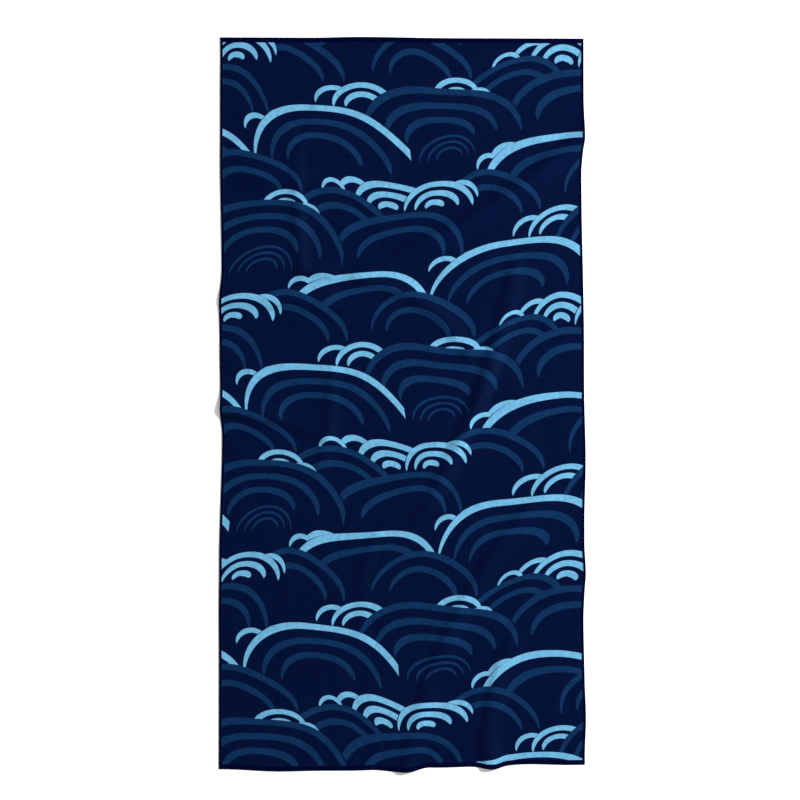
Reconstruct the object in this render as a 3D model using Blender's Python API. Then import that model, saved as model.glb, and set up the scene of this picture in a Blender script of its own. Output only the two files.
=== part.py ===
"""Beach towel: one thin hemmed panel that lies flat, with its creases and its uneven edges.

Frame: metres, +Z up. The towel rests on the plane z = 0 with its face up, its length along Y
and its width along X. The origin is the middle of its footprint.
"""

import math
from collections import namedtuple

import bpy
import numpy as np

MM = 0.001

# Cut size and thickness of the cloth
WIDTH = 0.762
LENGTH = 1.524
CLOTH = 1.1 * MM

# The hem is the cloth turned under, so the border stands a little higher than the field
HEM = 1.4 * MM
SIDE_HEM = 5.5 * MM
END_HEM = 10.5 * MM
HEM_STEP = 1.5 * MM

# Spacing of the surface points, and how far in from an edge its waves are felt
PITCH = 15.0 * MM
EDGE_REACH = 95.0 * MM

# Samples along a crease's line, and the distance below which a point counts as on it
CREASE_SAMPLES = 160
TOUCHING = 0.001 * MM

# Faces that meet at more than this are shaded with a sharp edge between them
SHARP_ANGLE = math.radians(35.0)

NAVY = (0.0018, 0.0060, 0.0331, 1.0)
CLOTH_ROUGHNESS = 0.85

# How far each corner lies outside the cut rectangle, in millimetres, for the edge's two ends:
# bottom and top on the left and right edges, left and right on the bottom and top edges
EdgeLine = namedtuple("EdgeLine", "edge first last")
EDGE_LINES = (
    EdgeLine("left", 1.2, -1.8),
    EdgeLine("right", 0.6, -2.2),
    EdgeLine("bottom", 1.5, -8.0),
    EdgeLine("top", 1.3, -1.2),
)

# Waves of the edges, in millimetres: each grows from its start to its peak along the edge,
# fades by its stop, and pushes the edge out by its reach, or in where that is negative
EdgeWave = namedtuple("EdgeWave", "edge start peak stop reach")
EDGE_WAVES = (
    EdgeWave("left", 226, 276, 520, -3.7),
    EdgeWave("left", 130, 208, 244, 1.7),
    EdgeWave("left", -40, 22, 110, -1.2),
    EdgeWave("left", -330, -70, -6, -5.5),
    EdgeWave("left", -540, -430, -340, 0.7),
    EdgeWave("right", 526, 556, 640, 2.8),
    EdgeWave("right", 110, 478, 550, -5.0),
    EdgeWave("right", -250, -120, 40, 2.8),
    EdgeWave("right", -402, -354, -290, 2.7),
    EdgeWave("right", -600, -450, -385, -2.3),
    EdgeWave("right", -745, -655, -570, 2.5),
    EdgeWave("bottom", -378, -250, 60, 6.2),
    EdgeWave("bottom", -200, -70, 60, 3.4),
    EdgeWave("bottom", -66, 12, 60, 9.8),
    EdgeWave("bottom", 10, 80, 200, 2.2),
    EdgeWave("bottom", 140, 190, 222, 7.2),
    EdgeWave("bottom", 205, 258, 355, -2.6),
    EdgeWave("top", -190, -85, 110, 2.0),
)

# Creases, in millimetres. Each runs on a smooth curve through its start, middle and stop, as a
# soft ridge that reaches out to its left and right, with a height at each of those points
Crease = namedtuple("Crease", "start middle stop left right heights")
CREASES = {
    "upper left fold": Crease((-220, 560), (-219, 400), (-211, 262), 27, 23, (0.0, 3.8, 2.3)),
    "upper left cross fold": Crease((-340, 462), (-240, 464), (-120, 452), 34, 22, (0.8, 5.0, 1.2)),
    "joining fold": Crease((-206, 278), (-150, 268), (-88, 258), 30, 17, (4.2, 3.6, 1.0)),
    "upper diagonal": Crease((404, 573), (131, 376), (-98, 270), 30, 34, (6.4, 10.4, 2.4)),
    "right edge lobe": Crease((400, 592), (372, 560), (338, 520), 32, 32, (1.6, 1.0, 0.0)),
    "middle curve": Crease((-86, 256), (52, 195), (142, 86), 48, 15, (3.6, 4.8, 1.8)),
    "long middle fold": Crease((236, 290), (158, 10), (22, -262), 32, 26, (2.4, 7.6, 1.0)),
    "long lower fold": Crease((372, -100), (120, -432), (0, -800), 40, 21, (1.6, 4.6, 0.8)),
    "first bottom lobe": Crease((12, -795), (13, -753), (18, -710), 36, 44, (13.0, 3.3, 0.0)),
    "right lower fold": Crease((258, -440), (190, -596), (177, -800), 42, 17, (0.8, 4.4, 3.5)),
    "second bottom lobe": Crease((188, -795), (187, -745), (184, -695), 29, 48, (7.0, 2.6, 0.0)),
    "left edge lobe": Crease((-405, -6), (-366, -14), (-326, -24), 54, 34, (2.8, 1.2, 0.0)),
    "left edge fold": Crease((-394, -11), (-334, -27), (-266, -34), 40, 15, (1.6, 6.8, 4.6)),
    "left fold": Crease((-300, -29), (-226, -46), (-150, -78), 44, 17, (2.4, 4.0, 2.6)),
    "left upper lobe": Crease((-400, 214), (-366, 213), (-326, 211), 34, 34, (2.4, 1.4, 0.0)),
    "left upper fold": Crease((-350, 213), (-210, 205), (-62, 187), 44, 18, (2.6, 5.0, 1.0)),
    "left middle fold": Crease((-146, 112), (-152, -30), (-181, -175), 26, 22, (0.8, 3.2, 0.6)),
    "right low lobe": Crease((400, -352), (372, -356), (340, -362), 30, 30, (3.2, 1.6, 0.0)),
}


def clear_scene():
    """Empty the scene that the towel is modelled in."""
    for obj in list(bpy.data.objects):
        bpy.data.objects.remove(obj, do_unlink=True)


def ease(share):
    """A smooth rise from 0 to 1."""
    return np.sin(0.5 * np.pi * np.clip(share, 0.0, 1.0)) ** 2


def edge_reach(edge, along):
    """How far the named edge lies outside the cut rectangle at places along it, in metres."""
    length = WIDTH if edge in ("bottom", "top") else LENGTH
    line = next(row for row in EDGE_LINES if row.edge == edge)
    reach = np.interp(along, (-length / 2, length / 2), (line.first, line.last))
    for wave in EDGE_WAVES:
        if wave.edge == edge:
            places = np.array((wave.start, wave.peak, wave.stop)) * MM
            reach = reach + wave.reach * ease(np.interp(along, places, (0.0, 1.0, 0.0)))
    return reach * MM


def lay_out(x, y):
    """Where the points of the cut rectangle lie, seen from above, with its edges uneven."""
    left = ease(1.0 - (x + WIDTH / 2) / EDGE_REACH)
    right = ease(1.0 - (WIDTH / 2 - x) / EDGE_REACH)
    bottom = ease(1.0 - (y + LENGTH / 2) / EDGE_REACH)
    top = ease(1.0 - (LENGTH / 2 - y) / EDGE_REACH)
    laid_x = x + right * edge_reach("right", y) - left * edge_reach("left", y)
    laid_y = y + top * edge_reach("top", x) - bottom * edge_reach("bottom", x)
    return laid_x, laid_y


def crease_height(crease, x, y):
    """Height of one crease's soft ridge over the points x, y, in metres."""
    share = np.linspace(0.0, 1.0, CREASE_SAMPLES)
    at_start = (1.0 - share) * (1.0 - 2.0 * share)
    at_middle = 4.0 * share * (1.0 - share)
    at_stop = share * (2.0 * share - 1.0)
    weights = np.stack((at_start, at_middle, at_stop))
    ends = np.array((crease.start, crease.middle, crease.stop)) * MM
    line_x, line_y = ends.T @ weights
    apart = np.hypot(x[..., None] - line_x, y[..., None] - line_y)
    nearest = apart.argmin(axis=-1)
    apart = np.maximum(apart.min(axis=-1), TOUCHING)

    ahead = np.gradient(line_x) + 1j * np.gradient(line_y)
    aside = (x - line_x[nearest]) + 1j * (y - line_y[nearest])
    leftward = (aside * np.conj(ahead / np.abs(ahead))[nearest]).imag / apart
    reach = 0.5 * (crease.left + crease.right + (crease.left - crease.right) * leftward)
    crest = (np.array(crease.heights) * MM @ weights)[nearest]
    return crest * ease(1.0 - apart / (reach * MM))


def lift(x, y):
    """Height of the cloth's underside above the ground."""
    return sum(crease_height(crease, x, y) for crease in CREASES.values())


def thickness(x, y):
    """Thickness at points of the cut rectangle: the hem round the edges, the cloth inside."""
    from_side = WIDTH / 2 - np.abs(x)
    from_end = LENGTH / 2 - np.abs(y)
    inside = np.minimum(from_side - SIDE_HEM, from_end - END_HEM) / HEM_STEP
    return HEM + (CLOTH - HEM) * np.clip(inside, 0.0, 1.0)


def grid_lines(length, hem):
    """Places across one dimension: the edges, the hem's inner line and step, and even steps."""
    inner = length / 2 - hem - HEM_STEP
    steps = round(2.0 * inner / PITCH)
    border = np.array((length / 2, length / 2 - hem))
    return np.concatenate((-border, np.linspace(-inner, inner, steps + 1), border[::-1]))


def sheet_points():
    """Grids of the top and underside points, each row running along X."""
    x, y = np.meshgrid(grid_lines(WIDTH, SIDE_HEM), grid_lines(LENGTH, END_HEM))
    laid_x, laid_y = lay_out(x, y)
    centre_x = (laid_x.min() + laid_x.max()) / 2
    centre_y = (laid_y.min() + laid_y.max()) / 2
    under = lift(laid_x, laid_y)
    over = under + thickness(x, y)
    laid = (laid_x - centre_x, laid_y - centre_y)
    return np.stack((*laid, over), axis=-1), np.stack((*laid, under), axis=-1)


def build_mesh():
    """One closed sheet: the top grid, the underside grid and the wall round them."""
    top, under = sheet_points()
    rows, columns, _ = top.shape
    points = np.concatenate((top.reshape(-1, 3), under.reshape(-1, 3)))
    index = np.arange(rows * columns).reshape(rows, columns)
    below = index + rows * columns

    corners = (index[:-1, :-1], index[:-1, 1:], index[1:, 1:], index[1:, :-1])
    top_faces = np.stack(corners, axis=-1).reshape(-1, 4)
    under_faces = top_faces[:, ::-1] + rows * columns

    rim = np.concatenate((index[0, :-1], index[:-1, -1], index[-1, :0:-1], index[:0:-1, 0]))
    rim_below = below.reshape(-1)[rim]
    wall_faces = np.stack((rim, rim_below, np.roll(rim_below, -1), np.roll(rim, -1)), axis=-1)

    mesh = bpy.data.meshes.new("towel")
    faces = np.concatenate((top_faces, under_faces, wall_faces))
    mesh.from_pydata(points.tolist(), [], faces.tolist())
    mesh.update()
    mesh.shade_smooth()
    mesh.set_sharp_from_angle(angle=SHARP_ANGLE)
    return mesh


def cloth_material():
    """Matt dark blue cloth."""
    material = bpy.data.materials.new("towel_cloth")
    material.use_nodes = True
    shader = material.node_tree.nodes["Principled BSDF"]
    shader.inputs["Base Color"].default_value = NAVY
    shader.inputs["Roughness"].default_value = CLOTH_ROUGHNESS
    shader.inputs["Metallic"].default_value = 0.0
    return material


def build_towel():
    """The towel, as one object."""
    mesh = build_mesh()
    mesh.materials.append(cloth_material())
    towel = bpy.data.objects.new("towel", mesh)
    bpy.context.scene.collection.objects.link(towel)
    return towel


clear_scene()
build_towel()
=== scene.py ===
"""Beach towel laid out flat, face up: its printed cloth, its turned hem and its hem stitching."""

import math
from collections import namedtuple

import bpy
import numpy as np
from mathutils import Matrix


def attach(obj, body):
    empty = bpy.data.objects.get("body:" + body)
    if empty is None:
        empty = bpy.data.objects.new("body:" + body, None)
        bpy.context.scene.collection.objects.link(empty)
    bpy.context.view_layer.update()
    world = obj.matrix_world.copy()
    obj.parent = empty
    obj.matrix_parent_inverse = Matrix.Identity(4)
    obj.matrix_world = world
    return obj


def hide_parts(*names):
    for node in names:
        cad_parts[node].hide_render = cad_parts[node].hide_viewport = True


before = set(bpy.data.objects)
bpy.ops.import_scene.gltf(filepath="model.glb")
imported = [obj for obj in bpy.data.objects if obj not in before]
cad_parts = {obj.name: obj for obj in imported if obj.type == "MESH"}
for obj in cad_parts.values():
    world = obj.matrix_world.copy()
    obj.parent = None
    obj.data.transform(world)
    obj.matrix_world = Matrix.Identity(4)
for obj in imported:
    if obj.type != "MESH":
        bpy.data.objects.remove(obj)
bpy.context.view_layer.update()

MM = 0.001

# Cut size and thickness of the cloth
WIDTH = 0.762
LENGTH = 1.524
CLOTH = 1.1 * MM

# The hem is the cloth turned under, so the border stands a little higher than the field
HEM = 1.4 * MM
SIDE_HEM = 5.5 * MM
END_HEM = 10.5 * MM
HEM_STEP = 1.5 * MM

# How far in from an edge its waves are felt
EDGE_REACH = 95.0 * MM

# Samples along a crease's line, and the distance below which a point counts as on it
CREASE_SAMPLES = 160
TOUCHING = 0.001 * MM

# How far each corner lies outside the cut rectangle, in millimetres, for the edge's two ends:
# bottom and top on the left and right edges, left and right on the bottom and top edges
EdgeLine = namedtuple("EdgeLine", "edge first last")
EDGE_LINES = (
    EdgeLine("left", 1.2, -1.8),
    EdgeLine("right", 0.6, -2.2),
    EdgeLine("bottom", 1.5, -8.0),
    EdgeLine("top", 1.3, -1.2),
)

# Waves of the edges, in millimetres: each grows from its start to its peak along the edge,
# fades by its stop, and pushes the edge out by its reach, or in where that is negative
EdgeWave = namedtuple("EdgeWave", "edge start peak stop reach")
EDGE_WAVES = (
    EdgeWave("left", 226, 276, 520, -3.7),
    EdgeWave("left", 130, 208, 244, 1.7),
    EdgeWave("left", -40, 22, 110, -1.2),
    EdgeWave("left", -330, -70, -6, -5.5),
    EdgeWave("left", -540, -430, -340, 0.7),
    EdgeWave("right", 526, 556, 640, 2.8),
    EdgeWave("right", 110, 478, 550, -5.0),
    EdgeWave("right", -250, -120, 40, 2.8),
    EdgeWave("right", -402, -354, -290, 2.7),
    EdgeWave("right", -600, -450, -385, -2.3),
    EdgeWave("right", -745, -655, -570, 2.5),
    EdgeWave("bottom", -378, -250, 60, 6.2),
    EdgeWave("bottom", -200, -70, 60, 3.4),
    EdgeWave("bottom", -66, 12, 60, 9.8),
    EdgeWave("bottom", 10, 80, 200, 2.2),
    EdgeWave("bottom", 140, 190, 222, 7.2),
    EdgeWave("bottom", 205, 258, 355, -2.6),
    EdgeWave("top", -190, -85, 110, 2.0),
)

# Creases, in millimetres. Each runs on a smooth curve through its start, middle and stop, as a
# soft ridge that reaches out to its left and right, with a height at each of those points
Crease = namedtuple("Crease", "start middle stop left right heights")
MAIN_CREASES = {
    "upper left fold": Crease((-220, 560), (-219, 400), (-211, 262), 27, 23, (0.0, 3.8, 2.3)),
    "upper left cross fold": Crease((-340, 462), (-240, 464), (-120, 452), 34, 22, (0.8, 5.0, 1.2)),
    "joining fold": Crease((-206, 278), (-150, 268), (-88, 258), 30, 17, (4.2, 3.6, 1.0)),
    "upper diagonal": Crease((404, 573), (131, 376), (-98, 270), 30, 34, (6.4, 10.4, 2.4)),
    "right edge lobe": Crease((400, 592), (372, 560), (338, 520), 32, 32, (1.6, 1.0, 0.0)),
    "middle curve": Crease((-86, 256), (52, 195), (142, 86), 48, 15, (3.6, 4.8, 1.8)),
    "long middle fold": Crease((236, 290), (158, 10), (22, -262), 32, 26, (2.4, 7.6, 1.0)),
    "long lower fold": Crease((372, -100), (120, -432), (0, -800), 40, 21, (1.6, 4.6, 0.8)),
    "first bottom lobe": Crease((12, -795), (13, -753), (18, -710), 36, 44, (13.0, 3.3, 0.0)),
    "right lower fold": Crease((258, -440), (190, -596), (177, -800), 42, 17, (0.8, 4.4, 3.5)),
    "second bottom lobe": Crease((188, -795), (187, -745), (184, -695), 29, 48, (7.0, 2.6, 0.0)),
    "left edge lobe": Crease((-405, -6), (-366, -14), (-326, -24), 54, 34, (2.8, 1.2, 0.0)),
    "left edge fold": Crease((-394, -11), (-334, -27), (-266, -34), 40, 15, (1.6, 6.8, 4.6)),
    "left fold": Crease((-300, -29), (-226, -46), (-150, -78), 44, 17, (2.4, 4.0, 2.6)),
    "left upper lobe": Crease((-400, 214), (-366, 213), (-326, 211), 34, 34, (2.4, 1.4, 0.0)),
    "left upper fold": Crease((-350, 213), (-210, 205), (-62, 187), 44, 18, (2.6, 5.0, 1.0)),
    "left middle fold": Crease((-146, 112), (-152, -30), (-181, -175), 26, 22, (0.8, 3.2, 0.6)),
    "right low lobe": Crease((400, -352), (372, -356), (340, -362), 30, 30, (3.2, 1.6, 0.0)),
}

# Faint creases between the main ones
FAINT_CREASES = {
    "top left": Crease((-300, 735), (-286, 640), (-292, 560), 22, 22, (0.0, 0.7, 0.0)),
    "above the upper left fold": Crease((-148, 700), (-184, 600), (-222, 500), 20, 24, (0.8, 1.4, 0.2)),
    "top right": Crease((120, 730), (150, 640), (240, 560), 24, 24, (0.0, 0.8, 0.0)),
    "upper centre": Crease((-60, 640), (-30, 540), (-44, 430), 26, 26, (0.0, 0.9, 0.0)),
    "beside the middle fold": Crease((186, 280), (116, 20), (-8, -240), 30, 30, (0.4, 1.4, 0.2)),
    "right of the middle fold": Crease((262, 262), (238, 172), (212, 84), 44, 28, (0.0, 2.2, 0.4)),
    "below the middle fold": Crease((10, -215), (-60, -290), (-84, -430), 22, 20, (0.6, 2.0, 0.4)),
    "further right": Crease((340, 120), (292, 20), (262, -90), 24, 24, (0.0, 0.9, 0.0)),
    "lower left": Crease((-330, -240), (-262, -330), (-232, -450), 26, 26, (0.0, 0.8, 0.0)),
    "lower middle": Crease((-60, -330), (-84, -450), (-70, -600), 26, 26, (0.0, 0.9, 0.0)),
    "bottom left": Crease((-250, -600), (-196, -660), (-176, -740), 24, 24, (0.0, 0.7, 0.0)),
    "bottom right": Crease((330, -560), (318, -640), (326, -720), 22, 22, (0.0, 0.8, 0.0)),
}

# The cloth's slight unevenness: crossing swells, with their length and height in millimetres,
# their heading in degrees and their phase
Swell = namedtuple("Swell", "length heading phase height")
SWELLS = (
    Swell(168, 12, 0.4, 0.16),
    Swell(131, 74, 2.1, 0.13),
    Swell(97, 131, 4.4, 0.10),
    Swell(61, 48, 1.3, 0.05),
    Swell(47, 104, 5.2, 0.04),
)

# Spacing of the sheet's points in the field
PITCH = 5.9 * MM

# Places across a hem, in millimetres in from the edge, where the sheet has a line of points
SIDE_LINES = (0.0, 0.12, 0.42, 0.9, 1.6, 2.3, 3.0, 3.5, 3.9, 4.3, 4.9, 5.5, 6.2, 7.0, 8.5)
END_LINES = (0.0, 0.12, 0.42, 0.9, 1.6, 2.8, 5.0, 7.8, 8.4, 8.8, 9.2, 9.8, 10.5, 11.2, 12.0, 13.6)

# The rounded fold at the hem's outer edge, and the groove that the stitches draw in
EDGE_ROUND = 1.6 * MM
SIDE_STITCH = 3.9 * MM
END_STITCH = 8.8 * MM
GROOVE_HALF = 0.9 * MM
GROOVE_DEPTH = 0.28 * MM

# Hem stitches: their pitch, the thread between two holes, its thickness, and how many points
# the thread has along itself and round itself
STITCH_PITCH = 3.0 * MM
STITCH_LENGTH = 2.5 * MM
THREAD = 0.36 * MM
STITCH_STATIONS = 6
THREAD_SIDES = 6

# In shares of the thread's thickness: how far a stitch's ends sink into the cloth, how far its
# middle bows up from there, and how thick the thread is at its ends
END_SINK = 0.30
MIDDLE_RISE = 0.55
END_THICKNESS = 0.45

# The hem puckers a little along its groove: how deep, and once in how many stitches
PUCKER_DEPTH = 0.10 * MM
PUCKER_STITCHES = 6.0

# Colours in linear light
GROUND = (0.00015, 0.00118, 0.01630)
MIDDLE = (0.00204, 0.01434, 0.05080)
LIGHT = (0.08900, 0.25240, 0.39160)
HEM_NAVY = (0.00030, 0.00095, 0.01280)
# Painted shade: the hem's navy darkened where its rounded outer fold turns away from the light
FOLD_SHADE_NAVY = (0.00018, 0.00057, 0.00770)
REVERSE_NAVY = (0.00140, 0.00420, 0.02200)
THREAD_NAVY = (0.00060, 0.00180, 0.01600)
SHEEN_BLUE = (0.20, 0.35, 0.80)

# How much paler the lightest places of the reverse and of the thread are
REVERSE_PALER = 1.35
THREAD_PALER = 1.9

# Tint of the cloth's gleam. It is above 1 because the gleam itself is set very weak, which keeps
# low views of the cloth blue, and the tint brings it back on the slopes that face the light
GLEAM_BLUE = (1.40, 4.00, 6.40)

# How matt each kind of cloth is, how strongly it gleams, and how strong its soft sheen is
Finish = namedtuple("Finish", "roughness gleam sheen")
FIELD_FINISH = Finish(0.5, 0.012, 0.04)
HEM_FINISH = Finish(0.8, 0.001, 0.04)
THREAD_FINISH = Finish(0.6, 0.001, 0.05)
SHEEN_ROUGHNESS = 0.45

# How far the roughness varies for a pile that varies by 1
ROUGHNESS_SPREAD = 0.25

# The width over which painted shade darkens the hem towards its outer fold, in millimetres
FOLD_SHADE_FADE = 4.5

# Noise: its scale in marks per millimetre of the flat cloth, its detail and its roughness. The
# thread's twist is in marks per metre, as its place is
Grain = namedtuple("Grain", "scale detail roughness")
LOOSE_PILE = Grain(1.6, 3.0, 0.6)
REVERSE_SHADE = Grain(0.05, 3.0, 0.55)
THREAD_TWIST = Grain(2600.0, 2.0, 0.6)

# How the pile varies the colour, from wide brushed marks to fibres: its grain, the share of
# that grain's scale along the towel, and how far the colour swings about 1
Mottle = namedtuple("Mottle", "grain along swing")
MOTTLES = (
    Mottle(Grain(0.030, 3.0, 0.55), 0.45, 0.40),
    Mottle(Grain(0.11, 4.0, 0.65), 1.0, 0.90),
    Mottle(Grain(0.8, 2.0, 0.7), 1.0, 0.90),
)

# The knit's ribs and courses, in millimetres, and how high they stand for a pile of height 1
RIB_SPACING = 0.85
COURSE_SPACING = 1.05
KNIT_HEIGHT = 0.25

# Relief of the knit and of the thread: its strength and its depth
Relief = namedtuple("Relief", "strength depth")
KNIT_RELIEF = Relief(0.35, 0.12 * MM)
THREAD_RELIEF = Relief(0.3, 0.05 * MM)

# The printed design repeats on this tile, and each next column is shifted by half its height.
# Its first tile is centred here
TILE_WIDTH = 386.0
TILE_HEIGHT = 540.0
TILE_PLACE = (-5.0, 17.0)

# Numbers that stand for the inks. Between two of them lies a mixture
MIDDLE_INK = 1.0
LIGHT_INK = 2.0

# Overlapping fans of concentric arcs, in millimetres: the centre, the outer radius, how much
# wider the fan is to its left and right, then its arcs from the outside in. The one whose
# centre lies lowest is in front
Fan = namedtuple("Fan", "x y radius left right arcs pitch stroke tone")
FANS = (
    Fan(70, 10, 116, 1.25, 1.75, 3, 30, 13, "middle"),
    Fan(268, 66, 92, 1.50, 1.10, 2, 28, 12, "middle"),
    Fan(44, 138, 88, 1.10, 1.50, 2, 31, 12, "middle"),
    Fan(206, 212, 122, 1.15, 1.80, 3, 31, 13, "edged"),
    Fan(10, 300, 100, 1.60, 1.15, 2, 31, 13, "middle"),
    Fan(170, 386, 88, 1.10, 1.40, 2, 29, 12, "middle"),
    Fan(346, 430, 112, 1.70, 1.15, 2, 31, 13, "edged"),
    Fan(316, 236, 62, 1.10, 1.25, 4, 13.5, 5.5, "middle"),
    Fan(96, 508, 54, 1.30, 1.10, 3, 13.5, 5.5, "middle"),
    Fan(176, 78, 36, 1.00, 1.00, 1, 17, 11, "light"),
    Fan(126, 96, 50, 1.10, 1.20, 2, 20, 11, "light"),
    Fan(72, 82, 36, 1.20, 1.00, 1, 17, 10, "light"),
    Fan(350, 138, 58, 1.20, 1.50, 3, 20, 12, "light"),
    Fan(290, 150, 38, 1.10, 1.00, 1, 17, 11, "light"),
    Fan(240, 145, 30, 1.00, 1.00, 1, 17, 9, "light"),
    Fan(146, 276, 42, 1.00, 1.20, 1, 17, 12, "light"),
    Fan(92, 268, 34, 1.10, 1.00, 1, 17, 10, "light"),
    Fan(320, 330, 54, 1.20, 1.30, 2, 20, 12, "light"),
    Fan(262, 340, 38, 1.10, 1.00, 1, 17, 11, "light"),
    Fan(50, 404, 58, 1.00, 1.60, 3, 20, 12, "light"),
    Fan(112, 420, 36, 1.00, 1.10, 1, 17, 11, "light"),
    Fan(236, 478, 48, 1.20, 1.20, 2, 19, 11, "light"),
    Fan(182, 474, 32, 1.10, 1.00, 1, 17, 10, "light"),
)

# Of two fans, the one with the higher key is in front: how much a light fan adds to its own, how
# much a fan adds where its body covers the cloth, and the key of bare cloth
LIGHT_FORWARD = 42.0
COVERED = 1000.0
BARE = 500.0

# A fan's body is this many times shallower below its centre than above it
SHALLOWER_BELOW = 1.8

# An arc tapers towards its ends: the square of its width goes with its rise above the fan's
# centre, by this rate and from this start
TAPER_RATE = 1.18
TAPER_START = 0.02

# How far an arc's ends draw in, in millimetres, and how fast its ink fades at its edge, per
# millimetre
END_INSET = 0.5
INK_FADE = 1.4

# The design flows in slow waves: the shift in millimetres, the rates along x and y in radians per
# millimetre, and the phase
Flow = namedtuple("Flow", "shift rate_x rate_y phase")
FLOW_X = (Flow(14, 0.0, 1 / 95, 0.6), Flow(6, 1 / 60, 1 / 140, 0.0))
FLOW_Y = (Flow(18, 1 / 120, 0.0, 1.1), Flow(8, 1 / 47, -1 / 90, 0.4))


def ease(share):
    """A smooth rise from 0 to 1."""
    return np.sin(0.5 * np.pi * np.clip(share, 0.0, 1.0)) ** 2


def edge_reach(edge, along):
    """How far the named edge lies outside the cut rectangle at places along it, in metres."""
    length = WIDTH if edge in ("bottom", "top") else LENGTH
    line = next(row for row in EDGE_LINES if row.edge == edge)
    reach = np.interp(along, (-length / 2, length / 2), (line.first, line.last))
    for wave in EDGE_WAVES:
        if wave.edge == edge:
            places = np.array((wave.start, wave.peak, wave.stop)) * MM
            reach = reach + wave.reach * ease(np.interp(along, places, (0.0, 1.0, 0.0)))
    return reach * MM


def lay_out(x, y):
    """Where the points of the cut rectangle lie, seen from above, with its edges uneven."""
    left = ease(1.0 - (x + WIDTH / 2) / EDGE_REACH)
    right = ease(1.0 - (WIDTH / 2 - x) / EDGE_REACH)
    bottom = ease(1.0 - (y + LENGTH / 2) / EDGE_REACH)
    top = ease(1.0 - (LENGTH / 2 - y) / EDGE_REACH)
    laid_x = x + right * edge_reach("right", y) - left * edge_reach("left", y)
    laid_y = y + top * edge_reach("top", x) - bottom * edge_reach("bottom", x)
    return laid_x, laid_y


def crease_height(crease, x, y):
    """Height of one crease's soft ridge over the points x, y, in metres."""
    share = np.linspace(0.0, 1.0, CREASE_SAMPLES)
    at_start = (1.0 - share) * (1.0 - 2.0 * share)
    at_middle = 4.0 * share * (1.0 - share)
    at_stop = share * (2.0 * share - 1.0)
    weights = np.stack((at_start, at_middle, at_stop))
    ends = np.array((crease.start, crease.middle, crease.stop)) * MM
    line_x, line_y = ends.T @ weights
    apart = np.hypot(x[..., None] - line_x, y[..., None] - line_y)
    nearest = apart.argmin(axis=-1)
    apart = np.maximum(apart.min(axis=-1), TOUCHING)

    ahead = np.gradient(line_x) + 1j * np.gradient(line_y)
    aside = (x - line_x[nearest]) + 1j * (y - line_y[nearest])
    leftward = (aside * np.conj(ahead / np.abs(ahead))[nearest]).imag / apart
    reach = 0.5 * (crease.left + crease.right + (crease.left - crease.right) * leftward)
    crest = (np.array(crease.heights) * MM @ weights)[nearest]
    return crest * ease(1.0 - apart / (reach * MM))


def unevenness(x, y):
    """Height of the cloth's slight swells, never below zero."""
    height = np.zeros_like(x)
    for swell in SWELLS:
        heading = math.radians(swell.heading)
        along = (x * math.cos(heading) + y * math.sin(heading)) / (swell.length * MM)
        height += swell.height * MM * (1.0 + np.sin(2.0 * np.pi * along + swell.phase)) / 2.0
    return height


def lift(x, y):
    """Height of the cloth's underside above the ground."""
    creases = (*MAIN_CREASES.values(), *FAINT_CREASES.values())
    return sum(crease_height(crease, x, y) for crease in creases) + unevenness(x, y)


def inset(x, y):
    """How far in from the nearest side and from the nearest end the points lie."""
    return WIDTH / 2 - np.abs(x), LENGTH / 2 - np.abs(y)


def groove(from_edge, stitch_line):
    """Share of the groove's depth at places across a hem."""
    return ease(1.0 - np.abs(from_edge - stitch_line) / GROOVE_HALF)


def faces_of_cloth(x, y):
    """Heights of the cloth's top and underside above the lift, at points of the cut rectangle."""
    from_side, from_end = inset(x, y)
    inside = np.minimum(from_side - SIDE_HEM, from_end - END_HEM) / HEM_STEP
    thickness = HEM + (CLOTH - HEM) * ease(inside)
    near = np.clip(np.minimum(from_side, from_end) / EDGE_ROUND, 0.0, 1.0)
    fullness = np.sqrt(1.0 - (1.0 - near) ** 2)
    along_side = groove(from_side, SIDE_STITCH) * (from_end > END_STITCH)
    along_end = groove(from_end, END_STITCH) * (from_side > SIDE_STITCH)
    pulled = np.maximum(along_side, along_end)
    place = np.where(along_side > along_end, y, x)
    pucker = PUCKER_DEPTH * np.sin(2.0 * np.pi * place / (PUCKER_STITCHES * STITCH_PITCH))
    top = thickness * (1.0 + fullness) / 2.0 - pulled * (GROOVE_DEPTH + pucker)
    under = thickness * (1.0 - fullness) / 2.0
    return top, under


def grid_lines(length, border):
    """Places across one dimension: the hem's own lines at both edges, and even steps inside."""
    edge = length / 2 - np.array(border) * MM
    steps = round(2.0 * edge[-1] / PITCH)
    return np.concatenate((-edge, np.linspace(-edge[-1], edge[-1], steps + 1)[1:-1], edge[::-1]))


def flat_grid():
    """Grids of x and y over the cut rectangle."""
    return np.meshgrid(grid_lines(WIDTH, SIDE_LINES), grid_lines(LENGTH, END_LINES))


def laid_centre():
    """Middle of the laid towel's box, which the frame has at the origin."""
    laid_x, laid_y = lay_out(*flat_grid())
    return (laid_x.min() + laid_x.max()) / 2, (laid_y.min() + laid_y.max()) / 2


CENTRE = laid_centre()


def surfaces(x, y):
    """Points of the towel's top and of its underside over points of the cut rectangle."""
    laid_x, laid_y = lay_out(x, y)
    raised = lift(laid_x, laid_y)
    top, under = faces_of_cloth(x, y)
    laid = (laid_x - CENTRE[0], laid_y - CENTRE[1])
    return np.stack((*laid, raised + top), axis=-1), np.stack((*laid, raised + under), axis=-1)


def new_object(name, mesh):
    """An object of that mesh in the scene."""
    obj = bpy.data.objects.new(name, mesh)
    bpy.context.scene.collection.objects.link(obj)
    return obj


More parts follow.
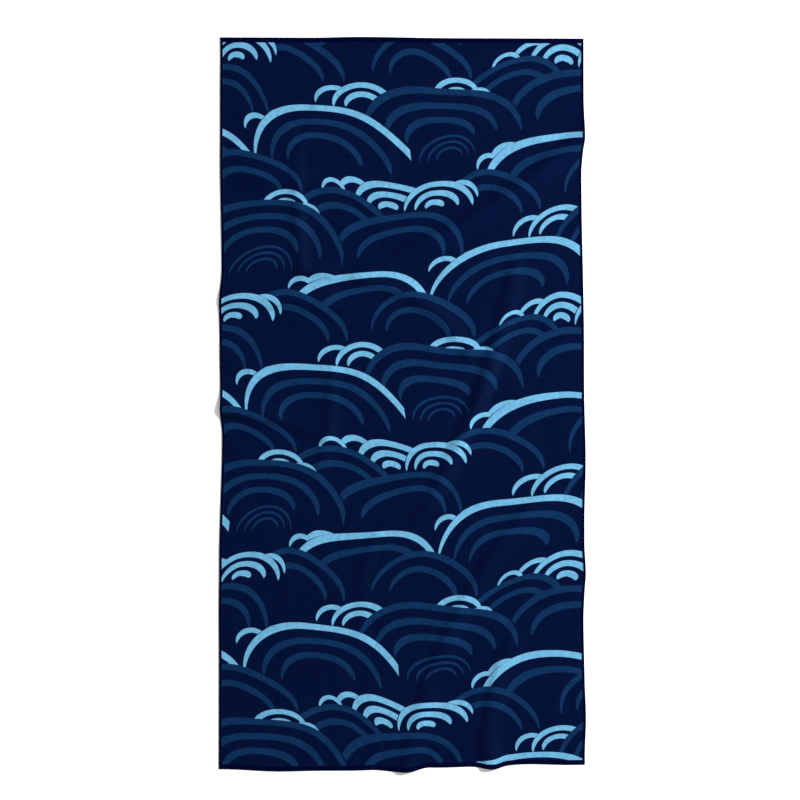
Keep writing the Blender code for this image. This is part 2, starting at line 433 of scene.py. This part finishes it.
def sheet_faces(rows, columns):
    """Faces of a closed sheet's top and underside over a grid, and the grid's inner points. The
    underside shares the rim's points with the top and has inner points of its own after them."""
    index = np.arange(rows * columns).reshape(rows, columns)
    inner = index[1:-1, 1:-1].reshape(-1)
    below = index.reshape(-1).copy()
    below[inner] = rows * columns + np.arange(len(inner))
    corners = (index[:-1, :-1], index[:-1, 1:], index[1:, 1:], index[1:, :-1])
    top_faces = np.stack(corners, axis=-1).reshape(-1, 4)
    return top_faces, below[top_faces[:, ::-1]], inner


def build_sheet(face, reverse, hem):
    """The towel's cloth: a closed sheet, printed on top, plain below, with its hem round both."""
    x, y = flat_grid()
    top_faces, under_faces, inner = sheet_faces(*x.shape)
    faces = np.concatenate((top_faces, under_faces))
    top, underside = (points.reshape(-1, 3) for points in surfaces(x, y))
    points = np.concatenate((top, underside[inner]))
    flat = np.stack((x, y), axis=-1).reshape(-1, 2)
    flat = np.concatenate((flat, flat[inner]))

    mesh = bpy.data.meshes.new("towel_sheet")
    mesh.from_pydata(points.tolist(), [], faces.tolist())
    for material in (face, reverse, hem):
        mesh.materials.append(material)
    on_face, on_reverse, on_hem = range(len(mesh.materials))
    from_side, from_end = inset(*flat[top_faces].mean(axis=1).T)
    in_hem = (from_side < SIDE_HEM) | (from_end < END_HEM)
    above = np.where(in_hem, on_hem, on_face)
    below = np.where(in_hem, on_hem, on_reverse)
    choice = np.concatenate((above, below)).astype(np.int32)
    mesh.polygons.foreach_set("material_index", choice)

    cloth_map = mesh.uv_layers.new(name="cloth")
    places = flat[faces.reshape(-1)] / LENGTH + 0.5
    cloth_map.data.foreach_set("uv", places.astype(np.float32).reshape(-1))
    mesh.update()
    mesh.shade_smooth()
    return new_object("towel_sheet", mesh)


def stitch_runs():
    """Start and end of every hem stitch, as points of the cut rectangle."""
    side = WIDTH / 2 - SIDE_STITCH
    end = LENGTH / 2 - END_STITCH
    corners = np.array(((-side, -end), (side, -end), (side, end), (-side, end), (-side, -end)))
    starts = []
    stops = []
    for first, last in zip(corners[:-1], corners[1:]):
        length = np.hypot(*(last - first))
        count = round(length / STITCH_PITCH)
        middle = (np.arange(count) + 0.5) / count
        half = 0.5 * STITCH_LENGTH / length
        starts.append(first + (last - first) * (middle - half)[:, None])
        stops.append(first + (last - first) * (middle + half)[:, None])
    return np.concatenate(starts), np.concatenate(stops)


def thread_faces(count):
    """Faces of that many short closed tubes: their sides, then a cap at either end of each."""
    station = np.arange(STITCH_STATIONS * THREAD_SIDES).reshape(STITCH_STATIONS, THREAD_SIDES)
    here = station[:-1]
    after = station[1:]
    sides = np.stack((here, np.roll(here, -1, 1), np.roll(after, -1, 1), after), axis=-1)
    caps = np.stack((station[0][::-1], station[-1]))
    offset = np.arange(count)[:, None, None] * station.size
    all_sides = (sides.reshape(-1, 4) + offset).reshape(-1, 4)
    all_caps = (caps + offset).reshape(-1, THREAD_SIDES)
    return all_sides.tolist() + all_caps.tolist()


def build_stitching(thread):
    """The hem's lock stitches: short rounded threads that dip into the cloth at their ends."""
    starts, stops = stitch_runs()
    count = len(starts)
    share = np.linspace(0.0, 1.0, STITCH_STATIONS)
    flat = starts[:, None] + (stops - starts)[:, None] * share[None, :, None]
    path, _ = surfaces(flat[..., 0], flat[..., 1])
    bow = np.sin(np.pi * share)
    path[..., 2] += THREAD * (MIDDLE_RISE * bow - END_SINK)

    along = stops - starts
    along = along / np.linalg.norm(along, axis=-1, keepdims=True)
    across = np.stack((-along[:, 1], along[:, 0], np.zeros(count)), axis=-1)
    turn = np.linspace(0.0, 2.0 * np.pi, THREAD_SIDES, endpoint=False)
    radius = 0.5 * THREAD * (END_THICKNESS + (1.0 - END_THICKNESS) * np.sqrt(bow))
    ring = radius[None, :, None, None] * (
        np.cos(turn)[None, None, :, None] * across[:, None, None, :]
        + np.sin(turn)[None, None, :, None] * np.array((0.0, 0.0, 1.0))
    )
    points = path[:, :, None, :] + ring

    mesh = bpy.data.meshes.new("hem_stitching")
    mesh.from_pydata(points.reshape(-1, 3).tolist(), [], thread_faces(count))
    mesh.materials.append(thread)
    mesh.update()
    mesh.shade_smooth()
    return new_object("hem_stitching", mesh)


class Wire:
    """A number that a node puts out. Arithmetic on it adds the nodes that work it out."""

    def __init__(self, tree, socket):
        self.tree = tree
        self.socket = socket

    def math(self, operation, *others, clamp=False):
        """This number and the others, put through a Math node."""
        node = self.tree.nodes.new("ShaderNodeMath")
        node.operation = operation
        node.use_clamp = clamp
        for slot, value in zip(node.inputs, (self, *others)):
            if isinstance(value, Wire):
                self.tree.links.new(value.socket, slot)
            else:
                slot.default_value = value
        return Wire(self.tree, node.outputs[0])

    def __add__(self, other):
        return self.math("ADD", other)

    def __sub__(self, other):
        return self.math("SUBTRACT", other)

    def __mul__(self, other):
        return self.math("MULTIPLY", other)

    def times_plus(self, factor, addend, clamp=False):
        """This number times the factor, plus the addend."""
        return self.math("MULTIPLY_ADD", factor, addend, clamp=clamp)


def new_material(name):
    """A material with its tree and its shader."""
    material = bpy.data.materials.new(name)
    material.use_nodes = True
    return material, material.node_tree, material.node_tree.nodes["Principled BSDF"]


def cloth_place(tree):
    """Place on the flat cloth, in millimetres from its middle, as two wires."""
    uv = tree.nodes.new("ShaderNodeUVMap")
    uv.uv_map = "cloth"
    split = tree.nodes.new("ShaderNodeSeparateXYZ")
    tree.links.new(uv.outputs["UV"], split.inputs[0])
    span = LENGTH / MM
    return tuple(Wire(tree, split.outputs[axis]).times_plus(span, -span / 2) for axis in "XY")


def flowed(x, y, flows):
    """Shift of the design at x, y from a table of slow waves."""
    total = None
    for flow in flows:
        angle = x.times_plus(flow.rate_x, y.times_plus(flow.rate_y, flow.phase))
        wave = angle.math("SINE") * flow.shift
        total = wave if total is None else total + wave
    return total


def add_fan(fan, x, y, front, ink):
    """The front key and the ink of the design after one more fan."""
    # Place from the centre of the nearest of the fan's repeats
    across = x.times_plus(1.0 / TILE_WIDTH, -fan.x / TILE_WIDTH)
    column = across.math("ROUND")
    aside = across - column
    reach = (aside * (TILE_WIDTH / fan.right)).math("MAXIMUM", aside * (-TILE_WIDTH / fan.left))
    half = TILE_HEIGHT / 2
    above = (column.times_plus(half, y) - fan.y).math("WRAP", half, -half)
    distance = (above * above).math("ADD", reach * reach).math("SQRT")
    depth = distance.times_plus(-1.0, fan.radius)

    # Where the fan lies in front of what was there
    lowered = above.math("MAXIMUM", above * -SHALLOWER_BELOW)
    body = (lowered * lowered).math("ADD", reach * reach).math("LESS_THAN", fan.radius ** 2)
    forward = LIGHT_FORWARD if fan.tone == "light" else 0.0
    key = body.times_plus(COVERED, above + forward)
    taken = key.math("GREATER_THAN", front)

    # Ink of its arcs, which taper towards their ends
    turns = depth * (1.0 / fan.pitch)
    off_centre = turns.math("FRACT").times_plus(fan.pitch, -fan.stroke / 2).math("ABSOLUTE")
    rise = above.math("DIVIDE", distance)
    taper = rise.times_plus(TAPER_RATE, TAPER_START, clamp=True).math("SQRT")
    half_stroke = taper.times_plus(fan.stroke / 2 + END_INSET, -END_INSET)
    stroke = (half_stroke - off_centre).times_plus(INK_FADE, 0.5, clamp=True)
    arcs = stroke * turns.math("LESS_THAN", float(fan.arcs))
    if fan.tone == "light":
        arcs = arcs * LIGHT_INK
    if fan.tone == "edged":
        outermost = turns.math("LESS_THAN", 1.0)
        arcs = arcs * outermost.times_plus(LIGHT_INK - MIDDLE_INK, MIDDLE_INK)
    return front.math("MAXIMUM", key), taken.times_plus(arcs - ink, ink)


def design(tree, x, y):
    """The printed design's ink at x, y: zero where the ground shows, or middle or light ink."""
    x = x - TILE_PLACE[0]
    y = y - TILE_PLACE[1]
    moved_x = x + flowed(x, y, FLOW_X)
    moved_y = y + flowed(x, y, FLOW_Y)
    front = x.times_plus(0.0, BARE)
    ink = x.times_plus(0.0, 0.0)
    for fan in FANS:
        front, ink = add_fan(fan, moved_x, moved_y, front, ink)
    return ink


# Places of the colour sockets among a Mix node's inputs and outputs
MIX_LOW = 6
MIX_HIGH = 7
MIX_RESULT = 2


def mix_colours(tree, amount, low, high):
    """A colour socket that goes from low to high. Each is a colour or a colour socket."""
    node = tree.nodes.new("ShaderNodeMix")
    node.data_type = "RGBA"
    tree.links.new(amount.socket, node.inputs["Factor"])
    for slot, colour in ((node.inputs[MIX_LOW], low), (node.inputs[MIX_HIGH], high)):
        if isinstance(colour, tuple):
            slot.default_value = (*colour, 1.0)
        else:
            tree.links.new(colour, slot)
    return node.outputs[MIX_RESULT]


def scaled(colour, factor):
    """The colour times a factor."""
    return tuple(factor * part for part in colour)


def flat_vector(tree, x, y):
    """A vector socket of a place on the flat cloth."""
    join = tree.nodes.new("ShaderNodeCombineXYZ")
    tree.links.new(x.socket, join.inputs["X"])
    tree.links.new(y.socket, join.inputs["Y"])
    return join.outputs[0]


def noise(tree, vector, grain):
    """Noise from 0 to 1 over the given place."""
    node = tree.nodes.new("ShaderNodeTexNoise")
    node.inputs["Scale"].default_value = grain.scale
    node.inputs["Detail"].default_value = grain.detail
    node.inputs["Roughness"].default_value = grain.roughness
    tree.links.new(vector, node.inputs["Vector"])
    return Wire(tree, node.outputs["Fac"])


def add_relief(tree, shader, height, relief):
    """Raise and sink the shader's surface by a height that varies over it."""
    bump = tree.nodes.new("ShaderNodeBump")
    bump.inputs["Strength"].default_value = relief.strength
    bump.inputs["Distance"].default_value = relief.depth
    tree.links.new(height.socket, bump.inputs["Height"])
    tree.links.new(bump.outputs["Normal"], shader.inputs["Normal"])


def varied(tree, colour, factor):
    """A colour socket of the colour times a factor that varies over the cloth."""
    node = tree.nodes.new("ShaderNodeVectorMath")
    node.operation = "SCALE"
    tree.links.new(colour, node.inputs[0])
    tree.links.new(factor.socket, node.inputs["Scale"])
    return node.outputs[0]


def nap(tree, x, y):
    """How the brushed pile varies the colour, about 1."""
    factor = None
    for mottle in MOTTLES:
        marks = noise(tree, flat_vector(tree, x, y * mottle.along), mottle.grain)
        share = marks.times_plus(mottle.swing, 1.0 - mottle.swing / 2)
        factor = share if factor is None else factor * share
    return factor


def add_knit(tree, x, y, shader):
    """Fine ribs of the knit and the loose pile over them, as relief on the shader."""
    ribs = (x * (2.0 * math.pi / RIB_SPACING)).math("SINE")
    courses = (y * (2.0 * math.pi / COURSE_SPACING)).math("SINE")
    pile = noise(tree, flat_vector(tree, x, y), LOOSE_PILE)
    add_relief(tree, shader, (ribs * courses).times_plus(KNIT_HEIGHT, pile), KNIT_RELIEF)


def set_finish(shader, pile, finish):
    """Cloth has hardly any gloss, just the blue gleam of its fibres on slopes that face the light,
    and a soft sheen at low angles. It is smoother where its pile, which varies about 1, is thin."""
    uneven = pile.times_plus(ROUGHNESS_SPREAD, finish.roughness - ROUGHNESS_SPREAD, clamp=True)
    pile.tree.links.new(uneven.socket, shader.inputs["Roughness"])
    shader.inputs["Specular IOR Level"].default_value = finish.gleam
    shader.inputs["Specular Tint"].default_value = (*GLEAM_BLUE, 1.0)
    shader.inputs["Sheen Weight"].default_value = finish.sheen
    shader.inputs["Sheen Roughness"].default_value = SHEEN_ROUGHNESS
    shader.inputs["Sheen Tint"].default_value = (*SHEEN_BLUE, 1.0)


def finish_cloth(tree, shader, x, y, colour, finish):
    """Give the shader cloth of that colour, with its pile, its knit and its finish."""
    pile = nap(tree, x, y)
    tree.links.new(varied(tree, colour, pile), shader.inputs["Base Color"])
    add_knit(tree, x, y, shader)
    set_finish(shader, pile, finish)


def face_material():
    """The printed face: dark, middle and light blue inks."""
    material, tree, shader = new_material("printed_face")
    x, y = cloth_place(tree)
    ink = design(tree, x, y)
    colour = mix_colours(tree, ink.math("MINIMUM", MIDDLE_INK), GROUND, MIDDLE)
    colour = mix_colours(tree, (ink - MIDDLE_INK).math("MAXIMUM", 0.0), colour, LIGHT)
    finish_cloth(tree, shader, x, y, colour, FIELD_FINISH)
    return material


def hem_material():
    """The turned hem's plain navy, with painted shade that darkens it towards its rounded outer fold.
    """
    material, tree, shader = new_material("turned_hem")
    x, y = cloth_place(tree)
    from_side = x.math("ABSOLUTE").times_plus(-1.0, WIDTH / 2 / MM)
    from_end = y.math("ABSOLUTE").times_plus(-1.0, LENGTH / 2 / MM)
    near_edge = from_side.math("MINIMUM", from_end).times_plus(1.0 / FOLD_SHADE_FADE, 0.0, clamp=True)
    # Painted shade: the hem's navy is mixed towards a darker navy near its outer fold
    colour = mix_colours(tree, near_edge, FOLD_SHADE_NAVY, HEM_NAVY)
    finish_cloth(tree, shader, x, y, colour, HEM_FINISH)
    return material


def reverse_material():
    """The plain navy reverse of the same knit."""
    material, tree, shader = new_material("plain_reverse")
    x, y = cloth_place(tree)
    shade = noise(tree, flat_vector(tree, x, y), REVERSE_SHADE)
    colour = mix_colours(tree, shade, REVERSE_NAVY, scaled(REVERSE_NAVY, REVERSE_PALER))
    finish_cloth(tree, shader, x, y, colour, FIELD_FINISH)
    return material


def thread_material():
    """Twisted navy polyester thread."""
    material, tree, shader = new_material("hem_thread")
    place = tree.nodes.new("ShaderNodeTexCoord")
    twist = noise(tree, place.outputs["Object"], THREAD_TWIST)
    colour = mix_colours(tree, twist, THREAD_NAVY, scaled(THREAD_NAVY, THREAD_PALER))
    tree.links.new(colour, shader.inputs["Base Color"])
    add_relief(tree, shader, twist, THREAD_RELIEF)
    set_finish(shader, twist + 0.5, THREAD_FINISH)
    return material


# Camera straight above, with a long lens. It looks at the middle of the photograph's frame
FRAME_WIDTH = 1.6688
SENSOR = 36.0
LENS = 200.0
LOOK_AT = (-0.0050, 0.0096)
VIEW_DEPTH = 100.0


def add_camera():
    """The camera at the photograph's view."""
    data = bpy.data.cameras.new("camera")
    data.sensor_width = SENSOR
    data.lens = LENS
    data.clip_end = VIEW_DEPTH
    camera = bpy.data.objects.new("camera", data)
    camera.location = (*LOOK_AT, FRAME_WIDTH * LENS / SENSOR)
    bpy.context.scene.collection.objects.link(camera)
    bpy.context.scene.camera = camera


# The soft key light: where it stands as seen from the towel, its size and its power
KEY_AZIMUTH = math.radians(18.0)
KEY_ELEVATION = math.radians(28.0)
KEY_DISTANCE = 6.2
KEY_SIZE = 1.0
KEY_POWER = 960.0

# Strength of the even light from all round
SOFT_LIGHT = 0.68

# The floor: its span, how far it lies below the towel, its white and how much darker that is in
# places, in marks per metre, and how matt it is
FLOOR_SPAN = 24.0
FLOOR_DROP = 0.05 * MM
FLOOR_WHITE = (0.84, 0.84, 0.84)
FLOOR_DARKER = 0.985
FLOOR_GRAIN = Grain(3.0, 3.0, 0.5)
FLOOR_ROUGHNESS = 0.95


def add_lights():
    """A soft key light low on the right, and even soft light from all round."""
    data = bpy.data.lights.new("key", "AREA")
    data.shape = "DISK"
    data.size = KEY_SIZE
    data.energy = KEY_POWER
    key = bpy.data.objects.new("key", data)
    level = KEY_DISTANCE * math.cos(KEY_ELEVATION)
    up = KEY_DISTANCE * math.sin(KEY_ELEVATION)
    key.location = (level * math.cos(KEY_AZIMUTH), level * math.sin(KEY_AZIMUTH), up)
    key.rotation_euler = (-key.location).to_track_quat("-Z", "Y").to_euler()
    bpy.context.scene.collection.objects.link(key)

    world = bpy.data.worlds.new("studio")
    world.use_nodes = True
    background = world.node_tree.nodes["Background"]
    background.inputs["Color"].default_value = (1.0, 1.0, 1.0, 1.0)
    background.inputs["Strength"].default_value = SOFT_LIGHT
    bpy.context.scene.world = world


def add_floor():
    """A plain pale floor."""
    half = FLOOR_SPAN / 2
    corners = [(-half, -half), (half, -half), (half, half), (-half, half)]
    mesh = bpy.data.meshes.new("floor")
    mesh.from_pydata([(*corner, -FLOOR_DROP) for corner in corners], [], [(0, 1, 2, 3)])
    material, tree, shader = new_material("pale_floor")
    place = tree.nodes.new("ShaderNodeTexCoord")
    marks = noise(tree, place.outputs["Object"], FLOOR_GRAIN)
    colour = mix_colours(tree, marks, scaled(FLOOR_WHITE, FLOOR_DARKER), FLOOR_WHITE)
    tree.links.new(colour, shader.inputs["Base Color"])
    shader.inputs["Roughness"].default_value = FLOOR_ROUGHNESS
    shader.inputs["Specular IOR Level"].default_value = 0.0
    mesh.materials.append(material)
    new_object("floor", mesh)


add_camera()
add_lights()
add_floor()
bpy.context.scene.view_settings.view_transform = "Standard"

sheet = build_sheet(face_material(), reverse_material(), hem_material())
stitching = build_stitching(thread_material())
for piece in (sheet, stitching):
    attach(piece, "root")
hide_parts("towel")
